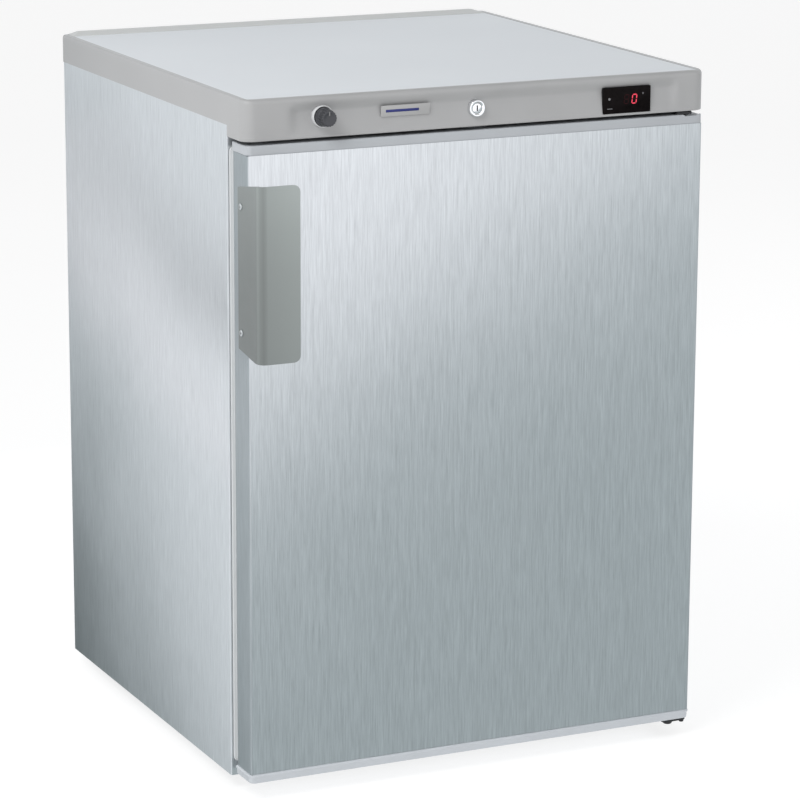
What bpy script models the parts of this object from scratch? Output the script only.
"""Undercounter refrigerator with a steel door, a moulded top frame and wire shelves.

Sizes below are in millimetres and MM turns them into Blender's metres. The frame's origin is on the
floor under the middle of the body, +X to the viewer's right, +Y to the rear, +Z up. The door is
hinged on the right. Every function builds one kind of sub-part, and build() puts them together.
"""
import math

import bmesh
import bpy
from mathutils import Matrix, Vector

MM = 0.001
GAP = 0.3            # air between pieces that touch on the real object
FOLD = 2.5           # outer radius of a sheet-metal fold

# Overall
HALF_WIDTH = 299     # half of the top frame's width
FRONT = -280         # front face of the top frame and of the door
REAR = 320           # rear face of the top frame
RIM_TOP = 834.5      # top edge of the side rims
LIP_TOP = 838        # raised lip along the rear
RIM_BOTTOM = 800
FASCIA_BOTTOM = 786.5
FASCIA_BACK = -231   # the deep front part of the frame ends here on each side

# Cabinet
SIDE_X = 298
SHEET = 1.0
CAB_FRONT = -227
CAB_REAR = 318
CAB_BOTTOM = 17
RAIL_LOW = 784       # the rail over the door opening meets the liner's flange here
BACK_Y = 262         # rear panel, ahead of the condenser
BAY_Y = 119          # front wall of the compressor bay
BAY_TOP = 222
FLANGE = 14

# Chilled cavity
CAVITY_X = 250
CAVITY_FLOOR = 66
CAVITY_TOP = 752
CAVITY_BACK = 216
STEP_Y = 78          # the cavity's floor rises over the compressor bay
STEP_Z = 262
WALL = 2
CAVITY_RADIUS = 18

# Door
DOOR_X = 294.5
DOOR_BACK = -238
DOOR_BOTTOM = 22.5
DOOR_TOP = 780.5
CAP_HEIGHT = 11
CAP_PROUD = 0.8
GASKET_X = 285
GASKET_LOW = 38
GASKET_HIGH = 770
GASKET_WIDTH = 20
HINGE_X = 279
HINGE_Y = -262
PIN_RADIUS = 4

# Controls on the fascia
RECESS_LEFT = -240
RECESS_RIGHT = 260
RECESS_LOW = 789
RECESS_HIGH = 826
RECESS_DEPTH = 3
KNOB_X = -201
KNOB_Z = 810.6
LOCK_X = -6
LOCK_Z = 807.6
DISPLAY_LEFT = 160
DISPLAY_RIGHT = 223.5
DISPLAY_LOW = 789.7
DISPLAY_HIGH = 820.7

# Shelves, on ledges moulded in the cavity's side walls
SHELF_LEVELS = (300, 450, 600)
SHELF_FRONT = -190
SHELF_REAR = 200
SHELF_X = 247
SHELF_THICK = 4
LEDGE_X = 238
LEDGE_HEIGHT = 10
LEDGE_PITCH = 22     # from the ledge under a shelf to the guide above it

# Running gear
FOOT_X = 248
FOOT_Y = -165
ROLLER_X = 250
ROLLER_Y = 285
ROLLER_RADIUS = 15
ROLLER_HALF = 9
PLATE_Z = 38         # top of the compressor plate

# Cooling unit
COMP_X = 60
COMP_Y = 222
COMP_FEET_X = 78
COMP_FEET_Y = 46
FAN_Z = 691
GLAND_X = -235
GLAND_Y = 230


# ---------------------------------------------------------------- materials

def material(name, colour, roughness, metallic=0.0):
    """One Principled material per sub-part, reused by name."""
    found = bpy.data.materials.get(name)
    if found:
        return found
    made = bpy.data.materials.new(name)
    made.use_nodes = True
    shader = made.node_tree.nodes["Principled BSDF"]
    shader.inputs["Base Color"].default_value = (*colour, 1.0)
    shader.inputs["Roughness"].default_value = roughness
    shader.inputs["Metallic"].default_value = metallic
    return made


def brushed_steel():
    return material("brushed_steel", (0.62, 0.64, 0.65), 0.35, 0.9)


def galvanised():
    return material("galvanised", (0.52, 0.54, 0.55), 0.5, 0.8)


def grey_plastic():
    return material("grey_plastic", (0.45, 0.45, 0.44), 0.5)


def cap_plastic():
    return material("cap_plastic", (0.55, 0.57, 0.58), 0.5)


def white_plastic():
    return material("white_plastic", (0.85, 0.86, 0.86), 0.4)


def black_plastic():
    return material("black_plastic", (0.02, 0.02, 0.02), 0.5)


def black_paint():
    return material("black_paint", (0.015, 0.015, 0.017), 0.45, 0.2)


def chrome():
    return material("chrome", (0.8, 0.8, 0.8), 0.12, 1.0)


# ---------------------------------------------------------------- shape helpers

def link(name, mesh_or_curve, mat):
    """An object in the scene's collection with one material."""
    thing = bpy.data.objects.new(name, mesh_or_curve)
    bpy.context.collection.objects.link(thing)
    if mat:
        mesh_or_curve.materials.append(mat)
    return thing


def mesh_object(name, bm, mat, smooth_degrees=30):
    """Closes a bmesh into an object with outward faces, smooth except at its hard edges."""
    bmesh.ops.recalc_face_normals(bm, faces=bm.faces)
    mesh = bpy.data.meshes.new(name)
    bm.to_mesh(mesh)
    bm.free()
    mesh.shade_smooth()
    mesh.set_sharp_from_angle(angle=math.radians(smooth_degrees))
    return link(name, mesh, mat)


def on_axis(axis, u, v, w):
    """A point with u, v across the axis and w along it, in metres."""
    if axis == "X":
        return Vector((w, u, v)) * MM
    if axis == "Y":
        return Vector((u, w, v)) * MM
    return Vector((u, v, w)) * MM


def stack(name, layers, axis, mat):
    """A closed solid through outlines of equal point counts, each at its own place on the axis.

    layers holds (place, outline) pairs. The outlines are in (y, z), (x, z) or (x, y) for axis X, Y, Z.
    """
    bm = bmesh.new()
    rings = []
    for place, outline in layers:
        rings.append([bm.verts.new(on_axis(axis, u, v, place)) for u, v in outline])
    for lower, upper in zip(rings, rings[1:]):
        count = len(lower)
        for i in range(count):
            j = (i + 1) % count
            bm.faces.new((lower[i], lower[j], upper[j], upper[i]))
    bm.faces.new(rings[0])
    bm.faces.new(rings[-1])
    return mesh_object(name, bm, mat)


def prism(name, outline, axis, start, end, mat):
    """An outline extruded from start to end along an axis."""
    return stack(name, [(start, outline), (end, outline)], axis, mat)


def box(name, low, high, mat=None):
    """A box between two corners."""
    rect = [(low[0], low[1]), (high[0], low[1]), (high[0], high[1]), (low[0], high[1])]
    return prism(name, rect, "Z", low[2], high[2], mat)


def arc(cu, cv, radius, start, end, steps):
    """Points along an arc, both ends included, angles in degrees."""
    points = []
    for i in range(steps + 1):
        a = math.radians(start + (end - start) * i / steps)
        points.append((cu + radius * math.cos(a), cv + radius * math.sin(a)))
    return points


def rounded_rect(u0, u1, v0, v1, low_radius, high_radius, steps=4):
    """A rectangle, anticlockwise, with one radius at its two low-v corners and one at its high-v ones."""
    a, b = low_radius, high_radius
    return (
        arc(u0 + a, v0 + a, a, 180, 270, steps)
        + arc(u1 - a, v0 + a, a, 270, 360, steps)
        + arc(u1 - b, v1 - b, b, 0, 90, steps)
        + arc(u0 + b, v1 - b, b, 90, 180, steps)
    )


def lathe(name, profile, axis, centre, mat, steps=24):
    """A profile of (radius, place) pairs, closed on itself or on the axis, turned about an axis."""
    cu, cv = centre
    bm = bmesh.new()
    rings = []
    for radius, place in profile:
        if radius == 0:
            rings.append([bm.verts.new(on_axis(axis, cu, cv, place))])
            continue
        circle = arc(cu, cv, radius, 0, 360 - 360 / steps, steps - 1)
        rings.append([bm.verts.new(on_axis(axis, u, v, place)) for u, v in circle])
    on_the_axis = profile[0][0] == 0
    pairs = list(zip(rings, rings[1:]))
    if not on_the_axis:
        pairs.append((rings[-1], rings[0]))
    for first, second in pairs:
        for i in range(steps):
            j = (i + 1) % steps
            if len(first) == 1:
                bm.faces.new((first[0], second[j], second[i]))
            elif len(second) == 1:
                bm.faces.new((first[i], first[j], second[0]))
            else:
                bm.faces.new((first[i], first[j], second[j], second[i]))
    return mesh_object(name, bm, mat)


def rod(name, radius, axis, centre, start, end, mat=None, steps=24):
    """A plain cylinder."""
    profile = [(0, start), (radius, start), (radius, end), (0, end)]
    return lathe(name, profile, axis, centre, mat, steps)


def fillet(path, radius, steps=3):
    """A polyline with its inner corners rounded."""
    points = [Vector(path[0])]
    for before, corner, after in zip(path, path[1:], path[2:]):
        corner = Vector(corner)
        u = (Vector(before) - corner).normalized()
        v = (Vector(after) - corner).normalized()
        half = u.angle(v) / 2
        reach = radius / math.tan(half)
        centre = corner + (u + v).normalized() * (radius / math.sin(half))
        first = corner + u * reach - centre
        last = corner + v * reach - centre
        sweep = math.atan2(first.cross(last), first.dot(last))
        for i in range(steps + 1):
            points.append(centre + Matrix.Rotation(sweep * i / steps, 2) @ first)
    points.append(Vector(path[-1]))
    return points


def strip(path, thickness, radius=FOLD, steps=3):
    """The outline of a bent sheet: a path with rounded folds and its copy offset to the left.

    A fold to the right keeps the given radius on the path's own side. Folds are at least as large as
    the sheet is thick, so the offset side never crosses itself.
    """
    outer = fillet([Vector(p) for p in path], radius, steps)
    inner = []
    for i, point in enumerate(outer):
        back = (point - outer[i - 1]).normalized() if i > 0 else None
        ahead = (outer[i + 1] - point).normalized() if i + 1 < len(outer) else None
        along = ahead if back is None else back if ahead is None else (back + ahead).normalized()
        reference = back if back is not None else ahead
        stretch = 1.0 / max(along.dot(reference), 0.5)
        inner.append(point + Vector((-along.y, along.x)) * thickness * stretch)
    return [tuple(p) for p in outer] + [tuple(p) for p in reversed(inner)]


def tube(name, route, radius, mat, steps=40):
    """A round tube along a smooth route, closed at both ends."""
    curve = bpy.data.curves.new(name, "CURVE")
    curve.dimensions = "3D"
    curve.bevel_depth = radius * MM
    curve.bevel_resolution = 2
    curve.use_fill_caps = True
    spline = curve.splines.new("POLY")
    points = smooth_route(route, steps)
    spline.points.add(len(points) - 1)
    for slot, point in zip(spline.points, points):
        slot.co = (*(point * MM), 1.0)
    return link(name, curve, mat)


def smooth_route(route, steps):
    """Points read evenly from a Catmull-Rom curve through the route."""
    ends = [Vector(p) for p in route]
    ends = [2 * ends[0] - ends[1]] + ends + [2 * ends[-1] - ends[-2]]
    spans = len(ends) - 3
    points = []
    for i in range(steps + 1):
        place = min(i * spans / steps, spans - 1e-6)
        k = int(place)
        t = place - k
        a, b, c, d = ends[k:k + 4]
        points.append(
            0.5 * ((2 * b) + (c - a) * t + (2 * a - 5 * b + 4 * c - d) * t ** 2
                   + (3 * b - a - 3 * c + d) * t ** 3)
        )
    return points


def as_tool(thing):
    """Marks an object that only shapes another one."""
    thing.hide_render = True
    thing.display_type = "WIRE"
    return thing


def combine(target, operation, tools):
    """Adds one Boolean modifier for each tool."""
    for tool in tools:
        step = target.modifiers.new(f"{operation.lower()}_{tool.name}", "BOOLEAN")
        step.operation = operation
        step.object = as_tool(tool)
        step.solver = "EXACT"
    return target


def cut(target, *tools):
    return combine(target, "DIFFERENCE", tools)


def fuse(target, *tools):
    return combine(target, "UNION", tools)


def keep(target, *tools):
    return combine(target, "INTERSECT", tools)


def bevel(thing, width, segments=2, degrees=40):
    """Rounds an object's hard edges."""
    step = thing.modifiers.new("round_edges", "BEVEL")
    step.width = width * MM
    step.segments = segments
    step.limit_method = "ANGLE"
    step.angle_limit = math.radians(degrees)
    return thing


def hang_on(name, pivot, pieces):
    """Parents the pieces of a moving body to an empty on its joint's axis."""
    holder = bpy.data.objects.new(name, None)
    bpy.context.collection.objects.link(holder)
    holder.location = Vector(pivot) * MM
    for piece in pieces:
        piece.parent = holder
        piece.matrix_parent_inverse = Matrix.Translation(-holder.location)
    return holder


# ---------------------------------------------------------------- cabinet shell

def side_panel(name, sign):
    """Stainless side sheet, folded inward along the door opening and along the rear edge."""
    path = [
        (sign * (SIDE_X - FLANGE), CAB_FRONT),
        (sign * SIDE_X, CAB_FRONT),
        (sign * SIDE_X, CAB_REAR),
        (sign * (SIDE_X - FLANGE), CAB_REAR),
    ]
    outline = strip(path, sign * SHEET)
    return prism(name, outline, "Z", CAB_BOTTOM, RIM_BOTTOM - GAP, brushed_steel())


def rear_panel():
    """One bent sheet: the back of the foam, the roof of the compressor bay and its front wall."""
    path = [
        (BACK_Y, RIM_BOTTOM - 2),
        (BACK_Y, BAY_TOP),
        (BAY_Y, BAY_TOP),
        (BAY_Y, CAB_BOTTOM + SHEET + 2 * GAP),
    ]
    half = SIDE_X - SHEET - GAP
    return prism("rear_panel", strip(path, SHEET), "X", -half, half, galvanised())


def base_pan():
    """Bottom sheet with a front upstand, holed for the stems of the levelling feet."""
    path = [
        (CAB_FRONT + WALL + GAP, 50),
        (CAB_FRONT + WALL + GAP, CAB_BOTTOM),
        (BAY_Y, CAB_BOTTOM),
    ]
    half = SIDE_X - SHEET - GAP
    pan = prism("base_pan", strip(path, SHEET), "X", -half, half, galvanised())
    for sign in (-1, 1):
        hole = rod(f"tool_pan_hole_{sign}", 5.3, "Z", (sign * FOOT_X, FOOT_Y), 10, 30, None, 16)
        cut(pan, hole)
    return pan


def front_rail():
    """Dark steel rail behind the fascia, over the door opening."""
    half = SIDE_X - FLANGE - GAP
    low = (-half, CAB_FRONT, RAIL_LOW + GAP)
    high = (half, CAB_FRONT + WALL, RIM_BOTTOM - GAP)
    return box("front_rail", low, high, black_paint())


def cavity_solid(name, grow, front, mat=None):
    """The cavity's shape, grown by a distance, from a front plane to the back, with its raised floor."""
    outline = rounded_rect(
        -CAVITY_X - grow, CAVITY_X + grow,
        CAVITY_FLOOR - grow, CAVITY_TOP + grow,
        CAVITY_RADIUS + grow, CAVITY_RADIUS + grow, 3,
    )
    solid = prism(name, outline, "Y", front, CAVITY_BACK + grow, mat)
    step = box(
        f"tool_step_{name}",
        (-HALF_WIDTH, STEP_Y + grow, 0),
        (HALF_WIDTH, REAR, STEP_Z - grow),
    )
    return cut(solid, step)


def inner_liner():
    """White cavity liner with a front flange, and a ledge and a guide for each end of each shelf."""
    liner = cavity_solid("inner_liner", WALL, CAB_FRONT + 0.5, white_plastic())
    half = SIDE_X - FLANGE - GAP
    flange = box("tool_flange", (-half, CAB_FRONT, 26), (half, CAB_FRONT + WALL, RAIL_LOW))
    fuse(liner, flange)
    cut(liner, as_tool(cavity_solid("tool_cavity", 0, CAB_FRONT - 20)))
    for level in SHELF_LEVELS:
        for sign in (-1, 1):
            wall = sign * (CAVITY_X + 1)
            edge = sign * LEDGE_X
            low_x, high_x = min(wall, edge), max(wall, edge)
            for part, top in (("ledge", level - GAP), ("guide", level + LEDGE_PITCH - GAP)):
                height = LEDGE_HEIGHT if part == "ledge" else LEDGE_HEIGHT / 2
                rib = box(
                    f"tool_{part}_{level}_{sign}",
                    (low_x, -205, top - height),
                    (high_x, 205, top),
                )
                fuse(liner, rib)
    return liner


def insulation_foam():
    """Foam between the sheets and the liner."""
    front = CAB_FRONT + WALL + SHEET + 3 * GAP
    outline = [
        (front, CAB_BOTTOM + SHEET + 2 * GAP),
        (BAY_Y - SHEET - 2 * GAP, CAB_BOTTOM + SHEET + 2 * GAP),
        (BAY_Y - SHEET - 2 * GAP, BAY_TOP + SHEET + 2 * GAP),
        (BACK_Y - SHEET - 2 * GAP, BAY_TOP + SHEET + 2 * GAP),
        (BACK_Y - SHEET - 2 * GAP, RIM_BOTTOM - 2 * GAP),
        (front, RIM_BOTTOM - 2 * GAP),
    ]
    half = SIDE_X - SHEET - 2 * GAP
    foam = prism(
        "insulation_foam", outline, "X", -half, half, material("foam", (0.75, 0.65, 0.4), 0.9)
    )
    for sign in (-1, 1):
        pocket = rod(f"tool_pocket_{sign}", 9, "Z", (sign * FOOT_X, FOOT_Y), 0, 44, None, 16)
        cut(foam, pocket)
    return cut(foam, as_tool(cavity_solid("tool_foam_cavity", WALL + GAP, CAB_FRONT - 20)))


# ---------------------------------------------------------------- top frame and its controls

def frame_outline(front_inset, side_inset, corner=15):
    """Plan of the top frame, with round front corners and tighter rear ones."""
    return rounded_rect(
        -HALF_WIDTH + side_inset, HALF_WIDTH - side_inset,
        FRONT + front_inset, REAR - side_inset,
        corner, 4, 5,
    )


def recess_surface(z):
    """Y of the sloped recess in the fascia at a height."""
    return FRONT + RECESS_DEPTH * (z - RECESS_LOW) / (RECESS_HIGH - RECESS_LOW)


def top_frame():
    """Moulded frame: deep fascia at the front, rims at the sides and rear, a lip along the rear."""
    layers = [(FASCIA_BOTTOM, frame_outline(0, 0))]
    top_radius, side_radius = 5, 1.5
    for degrees in (0, 30, 60, 90):
        a = math.radians(degrees)
        drop = 1 - math.sin(a)
        draw = 1 - math.cos(a)
        height = RIM_TOP - top_radius * drop
        layers.append((height, frame_outline(top_radius * draw, side_radius * draw)))
    frame = stack("top_frame", layers, "Z", grey_plastic())
    wall = 3
    step = box("tool_rim", (-310, FASCIA_BACK, 700), (310, 330, RIM_BOTTOM))
    hollow = box(
        "tool_hollow",
        (-HALF_WIDTH + wall, FRONT + 7, 700),
        (HALF_WIDTH - wall, REAR - wall, 825),
    )
    pocket = box("tool_pocket", (-291, -272, 828.7), (291, 306, 900))
    opening = box("tool_opening", (-281, -262, 800), (281, 296, 840))
    slope = [
        (FRONT - 1, RECESS_LOW - 1),
        (FRONT, RECESS_LOW),
        (FRONT + RECESS_DEPTH, RECESS_HIGH),
        (FRONT - 1, RECESS_HIGH + 1.5),
    ]
    recess = prism("tool_recess", slope, "X", RECESS_LEFT, RECESS_RIGHT, None)
    knob_hole = rod("tool_knob_hole", 13.1, "Y", (KNOB_X, KNOB_Z), -300, -260)
    lock_hole = rod("tool_lock_hole", 10.3, "Y", (LOCK_X, LOCK_Z), -300, -260)
    display_hole = box(
        "tool_display_hole",
        (DISPLAY_LEFT - GAP, -300, DISPLAY_LOW - GAP),
        (DISPLAY_RIGHT + GAP, -260, DISPLAY_HIGH + GAP),
    )
    cut(frame, step, hollow, pocket, opening, recess, knob_hole, lock_hole, display_hole)
    lip = [(-288, 833), (-276, LIP_TOP), (276, LIP_TOP), (288, 833)]
    return fuse(frame, prism("tool_lip", lip, "Y", 308, REAR - 0.5, None))


def worktop_panel():
    """Laminate sheet set in the frame, on a core board that fills the frame behind the controls."""
    sheet = box(
        "worktop_panel",
        (-291 + GAP, -272 + GAP, 829),
        (291 - GAP, 306 - GAP, RIM_TOP - 0.4),
        material("laminate", (0.68, 0.70, 0.71), 0.45),
    )
    core = box("tool_core", (-280, -238, RIM_BOTTOM + 1), (280, 290, 830))
    return fuse(sheet, core)


def display():
    """Digital thermometer: a glossy window in the fascia and the module behind it."""
    window = box(
        "display_window",
        (DISPLAY_LEFT, FRONT - 0.6, DISPLAY_LOW),
        (DISPLAY_RIGHT, FRONT + 2, DISPLAY_HIGH),
        material("display_black", (0.01, 0.008, 0.008), 0.1),
    )
    bevel(window, 0.5, 1)
    module = box(
        "display_module",
        (DISPLAY_LEFT + 0.5, FRONT + 2 + GAP, DISPLAY_LOW + 0.5),
        (DISPLAY_RIGHT - 0.5, FRONT + 26, DISPLAY_HIGH - 0.5),
        black_plastic(),
    )
    return window, module


def thermostat():
    """Thermostat body with its shaft, the light bezel in the fascia and the fluted knob."""
    centre = (KNOB_X, KNOB_Z)
    body = box(
        "thermostat_body",
        (KNOB_X - 18, -268, KNOB_Z - 16),
        (KNOB_X + 18, -243, RIM_TOP - 10),
        black_plastic(),
    )
    fuse(body, rod("tool_shaft", 3, "Y", centre, -285, -267, None, 16))
    ring = [(11.2, -281.5), (12.3, -281.5), (12.8, -281), (12.8, -270.5), (11.2, -270.5)]
    bezel = lathe("thermostat_bezel", ring, "Y", centre, cap_plastic(), 32)
    socket_first = [
        (0, -286.5), (3.3, -286.5), (3.3, -272), (10.8, -272), (10.8, -289), (10, -291), (0, -291),
    ]
    knob_grey = material("knob_grey", (0.12, 0.13, 0.14), 0.4)
    knob = lathe("thermostat_knob", socket_first, "Y", centre, knob_grey, 32)
    flutes = 16
    grip = []
    for i in range(flutes * 4):
        a = 2 * math.pi * i / (flutes * 4)
        radius = 9.3 + 0.5 * math.cos(flutes * a)
        grip.append((KNOB_X + radius * math.cos(a), KNOB_Z + radius * math.sin(a)))
    fuse(knob, prism("tool_grip", grip, "Y", -299, -290, None))
    return body, bezel, knob


def lock():
    """Key lock: a chrome barrel through the fascia, and a plug that turns the cam behind it."""
    centre = (LOCK_X, LOCK_Z)
    ring = [(6.3, -281.5), (8.6, -282.2), (10, -281.2), (10, -264), (6.3, -264)]
    barrel = lathe("lock_barrel", ring, "Y", centre, chrome(), 32)
    plug = rod("lock_plug", 6, "Y", centre, -281, -263.3, brushed_steel())
    slit = box("tool_slit", (LOCK_X - 0.7, -290, LOCK_Z - 3.5), (LOCK_X + 0.7, -276, LOCK_Z + 3.5))
    cut(plug, slit)
    blade = rounded_rect(LOCK_X - 7, LOCK_X + 31.6, LOCK_Z - 4, LOCK_Z + 4, 3.9, 3.9, 3)
    cam = prism("lock_cam", blade, "Y", -263, -260.5, galvanised())
    return barrel, plug, cam


def badge_blank():
    """Plain plate on the sloped part of the fascia."""
    low, high, thick = 805, 818, 0.8
    outline = [
        (recess_surface(low) - GAP, low),
        (recess_surface(high) - GAP, high),
        (recess_surface(high) - GAP - thick, high),
        (recess_surface(low) - GAP - thick, low),
    ]
    return prism("badge_blank", outline, "X", -128, -66, galvanised())


# ---------------------------------------------------------------- hinges

def hinge_bracket(name, plate, flange, pin, right):
    """Angle bracket on the cabinet's front with a pin into the door's cap.

    plate, flange and pin each give the lowest and highest Z of that portion.
    """
    outline = rounded_rect(262, right, -276, CAB_FRONT - GAP, 8, 1, 3)
    bracket = prism(name, outline, "Z", *plate, black_paint())
    upright = box(f"tool_flange_{name}", (262.5, -230, flange[0]), (293.5, CAB_FRONT - GAP, flange[1]))
    shaft = rod(f"tool_pin_{name}", PIN_RADIUS, "Z", (HINGE_X, HINGE_Y), *pin, None, 20)
    return fuse(bracket, upright, shaft)


def hinges():
    """Top and bottom brackets. The bottom one has the pin's cone nut and a stop under the door."""
    top = hinge_bracket(
        "hinge_bracket_top", plate=(782, 785), flange=(784, 799), pin=(DOOR_TOP - 9, 783), right=293.5,
    )
    bottom = hinge_bracket(
        "hinge_bracket_bottom", plate=(18.3, 21.3), flange=(20, 34), pin=(20, DOOR_BOTTOM + 9), right=297,
    )
    cone = [(0, 7), (6.5, 7), (9.5, 16), (9.5, 19), (0, 19)]
    nut = lathe("tool_cone_nut", cone, "Z", (HINGE_X, HINGE_Y), None, 20)
    stop = rod("tool_stop", 3.2, "Z", (291.5, -269), 12, 19, None, 12)
    fuse(bottom, nut, stop)
    return top, bottom


# ---------------------------------------------------------------- door

def door_skin():
    """Stainless sheet wrapped round the door's front and both sides, hemmed at the back."""
    hem = 10
    path = [
        (-DOOR_X + hem, DOOR_BACK - GAP),
        (-DOOR_X, DOOR_BACK - GAP),
        (-DOOR_X, FRONT),
        (DOOR_X, FRONT),
        (DOOR_X, DOOR_BACK - GAP),
        (DOOR_X - hem, DOOR_BACK - GAP),
    ]
    low = DOOR_BOTTOM + CAP_HEIGHT + GAP
    high = DOOR_TOP - CAP_HEIGHT - GAP
    return prism("door_skin", strip(path, SHEET), "Z", low, high, brushed_steel())


def door_cap(name, low, high):
    """Moulded end cap, a little proud of the skin, bored for the hinge pin."""
    outline = rounded_rect(
        -DOOR_X - CAP_PROUD, DOOR_X + CAP_PROUD,
        FRONT - CAP_PROUD, DOOR_BACK,
        7, 2, 4,
    )
    cap = prism(name, outline, "Z", low, high, cap_plastic())
    bore = rod(f"tool_bore_{name}", PIN_RADIUS + 0.35, "Z", (HINGE_X, HINGE_Y), low - 5, high + 5, None, 20)
    return cut(cap, bore)


def door_shell():
    """The door's skin, caps, foam and inner panel, and the magnetic gasket round it."""
    skin = door_skin()
    cap_top = door_cap("door_cap_top", DOOR_TOP - CAP_HEIGHT, DOOR_TOP)
    cut(cap_top, box("tool_keeper", (LOCK_X - 8, -267, 773), (LOCK_X + 23, -256, 790)))
    cap_bottom = door_cap("door_cap_bottom", DOOR_BOTTOM, DOOR_BOTTOM + CAP_HEIGHT)
    low = DOOR_BOTTOM + CAP_HEIGHT + GAP
    high = DOOR_TOP - CAP_HEIGHT - GAP
    half = DOOR_X - SHEET - 2 * GAP
    inner_back = DOOR_BACK - SHEET - 3 * GAP
    foam = box(
        "door_foam",
        (-half, FRONT + SHEET + 2 * GAP, low),
        (half, inner_back - WALL - GAP, high),
        material("foam", (0.75, 0.65, 0.4), 0.9),
    )
    return skin, cap_top, cap_bottom, foam, door_liner(low, high, inner_back), door_gasket()


def raised_outline(inset, radius):
    """Outline of the inner panel's raised part, a distance inside the cavity's opening."""
    return rounded_rect(
        -CAVITY_X + inset, CAVITY_X - inset,
        CAVITY_FLOOR + inset + 1, CAVITY_TOP - inset - 1,
        radius, radius, 3,
    )


def door_liner(low, high, back):
    """White inner panel, raised where it fits inside the cavity."""
    half = DOOR_X - SHEET - 2 * GAP
    liner = box("door_liner", (-half, back - WALL, low), (half, back, high), white_plastic())
    edge = back - 0.5
    layers = [
        (edge, raised_outline(4, 20)),
        (-224, raised_outline(7, 17)),
        (-219, raised_outline(12, 14)),
    ]
    raised = stack("tool_raised", layers, "Y", None)
    rear = back - WALL - 5
    hollow_layers = [
        (rear, raised_outline(4 + WALL, 18)),
        (-224 - WALL, raised_outline(7 + WALL, 15)),
        (-219 - WALL, raised_outline(12 + WALL, 12)),
    ]
    hollow = stack("tool_raised_hollow", hollow_layers, "Y", None)
    fuse(liner, raised)
    return cut(liner, hollow)


def door_gasket():
    """Magnetic gasket: a ring between the door and the cabinet's front."""
    outer = rounded_rect(-GASKET_X, GASKET_X, GASKET_LOW, GASKET_HIGH, 6, 6, 3)
    inner = rounded_rect(
        -GASKET_X + GASKET_WIDTH, GASKET_X - GASKET_WIDTH,
        GASKET_LOW + GASKET_WIDTH, GASKET_HIGH - GASKET_WIDTH,
        10, 10, 3,
    )
    rubber = material("gasket", (0.35, 0.36, 0.36), 0.8)
    ring = prism("door_gasket", outer, "Y", DOOR_BACK, CAB_FRONT - 1, rubber)
    return cut(ring, prism("tool_gasket", inner, "Y", DOOR_BACK - 10, CAB_FRONT + 10, None))


def door_handle():
    """Bent angle on the door's left side that stands out past the front, with two screws."""
    outer_x = -DOOR_X - GAP - 2.5
    front_y = FRONT - 40
    path = [(outer_x, -257.5), (outer_x, front_y), (-246.5, front_y)]
    plate = prism("door_handle", strip(path, 2.5, 10, 6), "Z", 500, 780,
                  material("handle_grey", (0.30, 0.32, 0.31), 0.45))
    side_view = [(-250, 546), (-325, 534), (-325, 744), (-250, 732)]
    front_view = (
        [(-310, 537)]
        + arc(-254.5, 545, 8, 270, 360, 4)
        + arc(-254.5, 734, 8, 0, 90, 4)
        + [(-310, 742)]
    )
    side_tool = prism("tool_handle_side", side_view, "X", -310, -200, None)
    front_tool = prism("tool_handle_front", front_view, "Y", -330, -200, None)
    keep(plate, side_tool, front_tool)
    screws = []
    for name, z in (("handle_screw_upper", 711.5), ("handle_screw_lower", 564.6)):
        seat = outer_x - GAP
        head = [(0, seat), (4, seat), (4, seat - 0.6), (2.6, -HALF_WIDTH), (0, -HALF_WIDTH)]
        screws.append(lathe(name, head, "X", (-267, z), chrome(), 16))
    return [plate, *screws]


# ---------------------------------------------------------------- inside the cavity

def shelf(name, level):
    """Shelf grid lying on its ledges, open between its wires."""
    grid = box(
        name,
        (-SHELF_X, SHELF_FRONT, level),
        (SHELF_X, SHELF_REAR, level + SHELF_THICK),
        material("shelf_wire", (0.80, 0.81, 0.82), 0.35, 0.2),
    )
    bars = 8
    edge = 12
    pitch = (2 * SHELF_X - edge) / bars
    bm = bmesh.new()
    for i in range(bars):
        left = -SHELF_X + edge + i * pitch
        size = Vector((pitch - edge, SHELF_REAR - SHELF_FRONT - 2 * edge, 40)) * MM
        middle = Vector((left + (pitch - edge) / 2, (SHELF_FRONT + SHELF_REAR) / 2, level)) * MM
        bmesh.ops.create_cube(bm, size=1, matrix=Matrix.Translation(middle) @ Matrix.Diagonal((*size, 1)))
    return cut(grid, mesh_object(f"tool_slots_{name}", bm, None))


def evaporator_plate():
    """Cold plate on stand-offs against the cavity's back wall."""
    plate = box("evaporator_plate", (-200, 205.5, 330), (200, 207, 600),
                material("aluminium", (0.75, 0.76, 0.77), 0.35, 0.9))
    for x in (-180, 180):
        for z in (350, 580):
            post = rod(f"tool_post_{x}_{z}", 5, "Y", (x, z), 206, CAVITY_BACK - GAP, None, 12)
            fuse(plate, post)
    return plate


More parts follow.
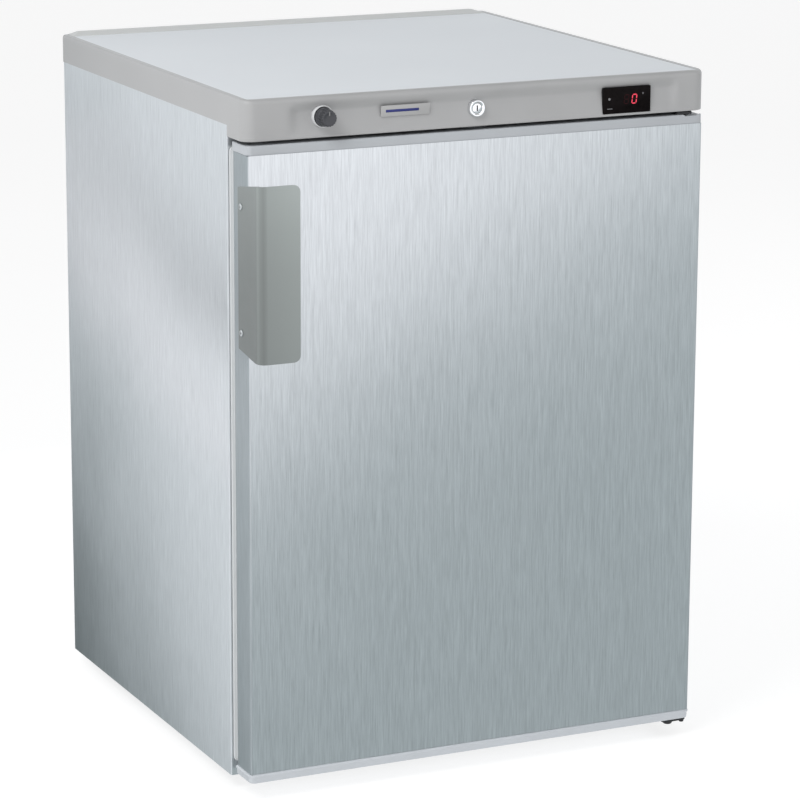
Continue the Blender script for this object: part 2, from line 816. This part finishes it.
def fan():
    """Circulation fan high on the back wall: shroud, motor on its strap, guard and blades."""
    centre = (0, FAN_Z)
    shroud = box("fan_shroud", (-75, 168, FAN_Z - 55), (75, CAVITY_BACK - GAP, FAN_Z + 55), white_plastic())
    bevel(shroud, 4, 2)
    inside = box("tool_shroud", (-72, 171, FAN_Z - 52), (72, 300, FAN_Z + 52))
    throat = rod("tool_throat", 48, "Y", centre, 150, 190, None, 32)
    cut(shroud, inside, throat)
    profile = [(0, 176), (2, 176), (2, 186), (20, 186), (22, 189), (22, 210), (0, 210)]
    motor = lathe("fan_motor", profile, "Y", centre, black_plastic(), 20)
    fuse(motor, box("tool_strap", (-71, 207, FAN_Z - 8), (71, 209, FAN_Z + 8)))
    ring = [(49, 163), (54, 163), (54, 167.7), (49, 167.7)]
    guard = lathe("fan_guard", ring, "Y", centre, white_plastic(), 32)
    for offset in (-30, -15, 0, 15, 30):
        half = math.sqrt(51 ** 2 - offset ** 2)
        bar = box(f"tool_bar_{offset}", (-half, 164, FAN_Z + offset - 1.5), (half, 167, FAN_Z + offset + 1.5))
        fuse(guard, bar)
    fuse(guard, box("tool_bar_upright", (-1.5, 163.5, FAN_Z - 51), (1.5, 166, FAN_Z + 51)))
    return shroud, motor, guard, fan_blades(centre)


def fan_blades(centre):
    """Five pitched blades on a hub that runs on the motor's shaft."""
    hub = [(0, 171.5), (9, 171.5), (12, 174), (12, 184), (2.3, 184), (2.3, 175.5), (0, 175.5)]
    blades = lathe("fan_blades", hub, "Y", centre, black_plastic(), 20)
    for i in range(5):
        spin = Matrix.Rotation(math.radians(72 * i), 4, "Y")
        pitch = Matrix.Rotation(math.radians(28), 4, "X")
        reach = Matrix.Translation(Vector((26.5, 0, 0)) * MM)
        size = Matrix.Diagonal((35 * MM, 1.5 * MM, 22 * MM, 1))
        place = Matrix.Translation(Vector((centre[0], 178, centre[1])) * MM)
        bm = bmesh.new()
        bmesh.ops.create_cube(bm, size=1, matrix=place @ spin @ reach @ pitch @ size)
        fuse(blades, mesh_object(f"tool_blade_{i}", bm, None))
    return blades


def temperature_probe():
    """Sensor bulb along the cavity's right wall."""
    return rod("temperature_probe", 3, "Y", (CAVITY_X - 3 - GAP - 0.2, 700), 90, 150,
               material("copper", (0.6, 0.35, 0.22), 0.3, 0.9), 12)


# ---------------------------------------------------------------- cooling unit

def compressor():
    """Hermetic compressor on a foot plate, with rubber grommets, relay box and evaporation tray."""
    profile = [
        (0, 58), (48, 58), (68, 72), (74, 100), (74, 104), (76, 105), (76, 109), (74, 110),
        (73, 150), (66, 178), (44, 198), (0, 205),
    ]
    shell = lathe("compressor_shell", profile, "Z", (COMP_X, COMP_Y), black_paint(), 28)
    foot = rounded_rect(COMP_X - 92, COMP_X + 92, COMP_Y - 60, COMP_Y + 60, 10, 10, 3)
    fuse(shell, prism("tool_foot", foot, "Z", 56, 59, None))
    grommets = []
    profile = [
        (0, PLATE_Z + GAP), (11, PLATE_Z + GAP), (11, 45), (8, 46.5), (11, 48), (11, 56 - GAP), (0, 56 - GAP),
    ]
    for number, (sx, sy) in enumerate(((-1, -1), (1, -1), (1, 1), (-1, 1)), 1):
        centre = (COMP_X + sx * COMP_FEET_X, COMP_Y + sy * COMP_FEET_Y)
        grommets.append(
            lathe(f"grommet_{number}", profile, "Z", centre, material("rubber", (0.03, 0.03, 0.03), 0.85), 16)
        )
    relay = box(
        "relay_box", (COMP_X - 110, COMP_Y - 28, 95), (COMP_X - 78, COMP_Y + 28, 150), black_plastic(),
    )
    bevel(relay, 3, 2)
    tray = box("evaporation_tray", (COMP_X - 60, COMP_Y - 48, 206), (COMP_X + 60, COMP_Y + 48, 218),
               grey_plastic())
    hollow = box("tool_tray", (COMP_X - 58, COMP_Y - 46, 208), (COMP_X + 58, COMP_Y + 46, 230))
    cut(tray, hollow)
    return [shell, *grommets, relay, tray]


def compressor_plate():
    """Channel across the bay that carries the compressor and the rear rollers."""
    half = SIDE_X - SHEET - GAP
    path = [(-half, 62), (-half, PLATE_Z - 2), (half, PLATE_Z - 2), (half, 62)]
    plate = prism("compressor_plate", strip(path, 2, 3), "Y", 126, 312, galvanised())
    return cut(plate, rod("tool_cable_hole", 5.5, "Z", (GLAND_X, GLAND_Y), 20, 60, None, 16))


def condenser_grid():
    """Condenser on the cabinet's back: horizontal passes tied by upright wires, on four stand-offs."""
    half, low, high = 262, 262, 778
    grid = box("condenser_grid", (-half, 290, low), (half, 296, high), black_paint())
    rows, columns = 10, 13
    edge, wire = 8, 4
    row_pitch = (high - low - edge) / rows
    column_pitch = (2 * (half - edge) + wire) / columns
    size = Vector((column_pitch - wire, 30, row_pitch - edge)) * MM
    bm = bmesh.new()
    for row in range(rows):
        z = low + edge / 2 + (row + 0.5) * row_pitch
        for column in range(columns):
            x = -half + edge - wire / 2 + (column + 0.5) * column_pitch
            place = Matrix.Translation(Vector((x, 293, z)) * MM)
            bmesh.ops.create_cube(bm, size=1, matrix=place @ Matrix.Diagonal((*size, 1)))
    cut(grid, mesh_object("tool_condenser_slots", bm, None))
    for x in (-half + 3, half - 3):
        for z in (300, 740):
            post = rod(f"tool_stand_{x}_{z}", 2.8, "Y", (x, z), BACK_Y + SHEET + GAP, 292, None, 10)
            fuse(grid, post)
    return grid


def refrigerant_lines():
    """Filter dryer, discharge line up to the condenser and suction line into the roof of the bay."""
    copper = material("copper", (0.6, 0.35, 0.22), 0.3, 0.9)
    cartridge = [(0, 120), (1.5, 120), (1.5, 140), (9, 146), (9, 220), (3, 226), (3, 261.5), (0, 261.5)]
    dryer = lathe("filter_dryer", cartridge, "Z", (-170, 293), copper, 16)
    discharge = tube(
        "discharge_line",
        [
            (138.5, 222, 128), (165, 222, 130), (190, 240, 140),
            (200, 280, 170), (200, 293, 215), (200, 293, 261.5),
        ],
        3, material("discharge_paint", (0.05, 0.05, 0.05), 0.5), 28,
    )
    suction = tube(
        "suction_line",
        [(137, 250, 150), (153, 258, 155), (165, 262, 175), (165, 262, 198), (165, 262, 218)],
        4, copper, 24,
    )
    return dryer, discharge, suction


def cable_gland():
    """Bush in the compressor plate that the supply cable leaves through."""
    low = PLATE_Z + GAP
    ring = [(4.5, low), (11, low), (11, 44), (8.5, 46), (8.5, 54), (4.5, 54)]
    return lathe("cable_gland", ring, "Z", (GLAND_X, GLAND_Y), black_plastic(), 20)


# ---------------------------------------------------------------- feet and rollers

def levelling_foot(name, sign):
    """Round foot on a threaded stem, turned by hand to level the cabinet."""
    profile = [(0, 0), (16, 0), (18, 2), (18, 7), (13, 13), (4.8, 13), (4.8, 36), (0, 36)]
    return lathe(name, profile, "Z", (sign * FOOT_X, FOOT_Y), black_plastic(), 24)


def roller_bracket(name, sign):
    """Fork under the compressor plate with the roller's axle."""
    x = sign * ROLLER_X
    outer = ROLLER_HALF + 3.5
    top = PLATE_Z - 2 - GAP
    fork = box(name, (x - outer, ROLLER_Y - 12, 8), (x + outer, ROLLER_Y + 12, top), galvanised())
    clear = ROLLER_HALF + 1
    slot = box(f"tool_{name}", (x - clear, ROLLER_Y - 20, 0), (x + clear, ROLLER_Y + 20, 33))
    cut(fork, slot)
    axle = rod(f"tool_axle_{name}", 3, "X", (ROLLER_Y, ROLLER_RADIUS), x - outer + 1, x + outer - 1, None, 16)
    return fuse(fork, axle)


def roller(name, sign):
    """Rear roller, turning on its axle."""
    x = sign * ROLLER_X
    ring = [
        (3.4, x - ROLLER_HALF), (14, x - ROLLER_HALF), (ROLLER_RADIUS, x - ROLLER_HALF + 1),
        (ROLLER_RADIUS, x + ROLLER_HALF - 1), (14, x + ROLLER_HALF), (3.4, x + ROLLER_HALF),
    ]
    return lathe(name, ring, "X", (ROLLER_Y, ROLLER_RADIUS), black_plastic(), 32)


# ---------------------------------------------------------------- assembly

def build_cabinet():
    """Everything that stays still."""
    side_panel("side_panel_left", -1)
    side_panel("side_panel_right", 1)
    rear_panel()
    base_pan()
    front_rail()
    inner_liner()
    insulation_foam()
    top_frame()
    worktop_panel()
    display()
    badge_blank()
    hinges()
    evaporator_plate()
    temperature_probe()
    compressor_plate()
    compressor()
    condenser_grid()
    refrigerant_lines()
    cable_gland()


def build_moving():
    """The door and the small moving pieces, each on an empty on its joint's axis."""
    hang_on("door_axis", (HINGE_X, HINGE_Y, 0), [*door_shell(), *door_handle()])
    _, _, knob = thermostat()
    hang_on("thermostat_axis", (KNOB_X, FRONT, KNOB_Z), [knob])
    _, plug, cam = lock()
    hang_on("lock_axis", (LOCK_X, FRONT, LOCK_Z), [plug, cam])
    _, _, _, blades = fan()
    hang_on("fan_axis", (0, 178, FAN_Z), [blades])
    for side, sign in (("left", -1), ("right", 1)):
        foot = levelling_foot(f"levelling_foot_{side}", sign)
        hang_on(f"foot_axis_{side}", (sign * FOOT_X, FOOT_Y, 0), [foot])
        roller_bracket(f"roller_bracket_{side}", sign)
        wheel = roller(f"roller_{side}", sign)
        hang_on(f"roller_axis_{side}", (sign * ROLLER_X, ROLLER_Y, ROLLER_RADIUS), [wheel])
    for name, level in zip(("shelf_lower", "shelf_middle", "shelf_upper"), SHELF_LEVELS):
        hang_on(f"{name}_slide", (0, 0, level), [shelf(name, level)])


def build():
    for thing in list(bpy.data.objects):
        bpy.data.objects.remove(thing, do_unlink=True)
    build_cabinet()
    build_moving()


build()
